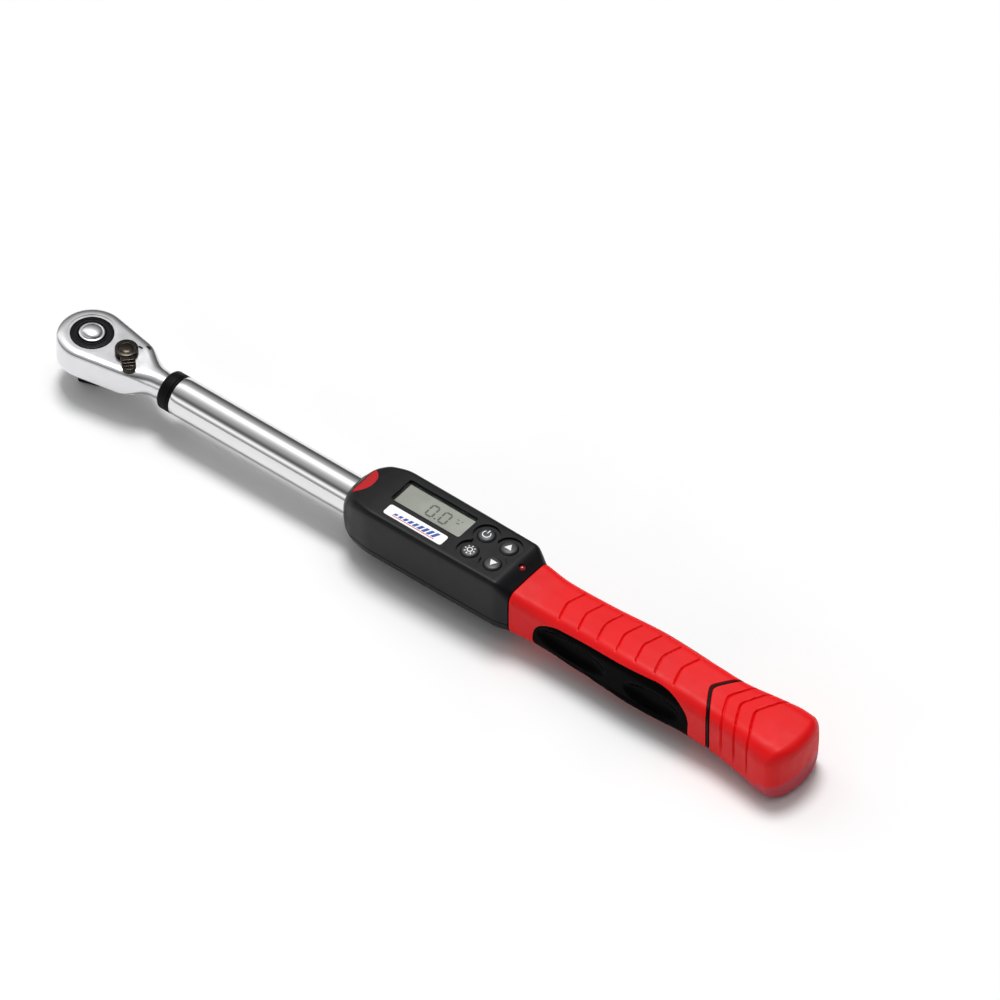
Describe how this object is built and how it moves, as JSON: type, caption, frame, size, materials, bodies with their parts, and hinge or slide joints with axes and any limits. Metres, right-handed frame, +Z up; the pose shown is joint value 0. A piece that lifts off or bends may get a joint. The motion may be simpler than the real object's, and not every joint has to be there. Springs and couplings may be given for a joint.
{
  "type": "digital torque wrench",
  "caption": "Long-handled digital torque wrench with a reversible square-drive ratchet head, chrome tube, black display case with keys and a flared red grip.",
  "frame": {"origin": "centre of the drive square's end face, on the drive axis", "axes": "+Z up along the drive axis from the square to the display side, +X from the drive axis along the tube to the handle's end, +Y to the left of the handle seen from above"},
  "size_m": [0.4985, 0.044, 0.0442],
  "materials": {
    "satin_chrome": "satin chrome plate, roughness 0.28",
    "polished_chrome": "mirror-polished chrome plate, roughness 0.1",
    "black_steel": "black oxide steel, roughness 0.45",
    "gunmetal": "dark bronze-grey plated steel, roughness 0.4",
    "plain_steel": "machined steel",
    "spring_steel": "drawn spring wire",
    "black_plastic": "matte moulded ABS, roughness 0.6",
    "button_plastic": "dark grey moulded rubbery plastic",
    "dark_rubber": "matte black rubber",
    "grip_red": "bright red moulded grip, satin",
    "insert_black": "glossy black side panel",
    "white_label": "plain white label",
    "lcd_grey": "grey reflective LCD",
    "clear_window": "clear polycarbonate window",
    "red_lens": "red LED dome",
    "board_green": "green circuit board",
    "chip_black": "black moulded component",
    "brass": "plated brass contact",
    "battery_jacket": "printed battery sleeve, plain",
    "gauge_foil": "amber foil gauge",
    "cable_grey": "grey cable jacket"
  },
  "bodies": {
    "wrench": {"ratchet_head": "satin_chrome", "head_cover_plate": "satin_chrome", "cover_screw_1": "black_steel", "cover_screw_2": "black_steel", "cover_screw_3": "black_steel", "pawl_pin": "plain_steel", "lever_detent_ball": "plain_steel", "lever_detent_spring": "spring_steel", "neck_collar": "dark_rubber", "main_tube": "polished_chrome", "sensor_beam": "plain_steel", "beam_pin": "plain_steel", "tube_pin": "plain_steel", "strain_gauge_left": "gauge_foil", "strain_gauge_right": "gauge_foil", "sensor_cable": "cable_grey", "upper_housing": "black_plastic", "lower_housing": "black_plastic", "nose_insert": "grip_red", "display_window": "clear_window", "lcd_panel": "lcd_grey", "label_plate": "white_label", "main_pcb": "board_green", "keypad_bezel": "black_plastic", "switch_1": "plain_steel", "switch_2": "plain_steel", "switch_3": "plain_steel", "switch_4": "plain_steel", "led_lens": "red_lens", "buzzer": "chip_black", "processor_chip": "chip_black", "housing_screw_1": "black_steel", "housing_screw_2": "black_steel", "housing_screw_3": "black_steel", "housing_screw_4": "black_steel", "grip_sleeve": "grip_red", "side_insert_right": "insert_black", "side_insert_left": "insert_black", "battery_tube": "black_plastic", "battery_front": "battery_jacket", "battery_rear": "battery_jacket", "front_contact": "brass", "front_contact_spring": "spring_steel"},
    "drive": {"drive_gear": "black_steel", "release_spring": "spring_steel"},
    "release": {"release_button": "satin_chrome", "release_pin": "plain_steel"},
    "ball": {"detent_ball": "plain_steel"},
    "pawl": {"pawl": "plain_steel"},
    "lever": {"reversing_lever": "gunmetal", "pawl_plunger": "plain_steel"},
    "key_power": {"button_power": "button_plastic"},
    "key_unit": {"button_unit": "button_plastic"},
    "key_up": {"button_up": "button_plastic"},
    "key_down": {"button_down": "button_plastic"},
    "cap": {"end_cap": "grip_red", "cap_gasket": "dark_rubber", "rear_contact": "brass", "rear_contact_spring": "spring_steel"}
  },
  "joints": [
    {"name": "drive_spin", "type": "hinge", "parent": "wrench", "child": "drive", "pos_m": [0, 0, 0], "axis": [0, 0, 1], "continuous": true},
    {"name": "release_press", "type": "slide", "parent": "drive", "child": "release", "axis": [0, 0, -1], "range_m": [0, 0.0022], "stiffness_N_per_m": 900, "deforming": ["release_spring"]},
    {"name": "ball_retract", "type": "slide", "parent": "drive", "child": "ball", "axis": [-0.9397, -0.342, 0], "range_m": [0, 0.0011]},
    {"name": "lever_flip", "type": "hinge", "parent": "wrench", "child": "lever", "pos_m": [0.0234, 0, 0], "axis": [0, 0, 1], "range_deg": [0, 90]},
    {"name": "pawl_rock", "type": "hinge", "parent": "wrench", "child": "pawl", "pos_m": [0.0159, 0, 0], "axis": [0, 0, 1], "range_deg": [-7, 0]},
    {"name": "power_press", "type": "slide", "parent": "wrench", "child": "key_power", "axis": [0, 0, -1], "range_m": [0, 0.0007], "stiffness_N_per_m": 400},
    {"name": "unit_press", "type": "slide", "parent": "wrench", "child": "key_unit", "axis": [0, 0, -1], "range_m": [0, 0.0007], "stiffness_N_per_m": 400},
    {"name": "up_press", "type": "slide", "parent": "wrench", "child": "key_up", "axis": [0, 0, -1], "range_m": [0, 0.0007], "stiffness_N_per_m": 400},
    {"name": "down_press", "type": "slide", "parent": "wrench", "child": "key_down", "axis": [0, 0, -1], "range_m": [0, 0.0007], "stiffness_N_per_m": 400},
    {"name": "cap_pull", "type": "slide", "parent": "wrench", "child": "cap", "axis": [1, 0, 0], "range_m": [0, 0.045]}
  ],
  "couplings": [
    {"joint": "ball_retract", "follows": "release_press", "ratio": 0.5},
    {"joint": "pawl_rock", "follows": "lever_flip", "ratio": -0.07777}
  ]
}
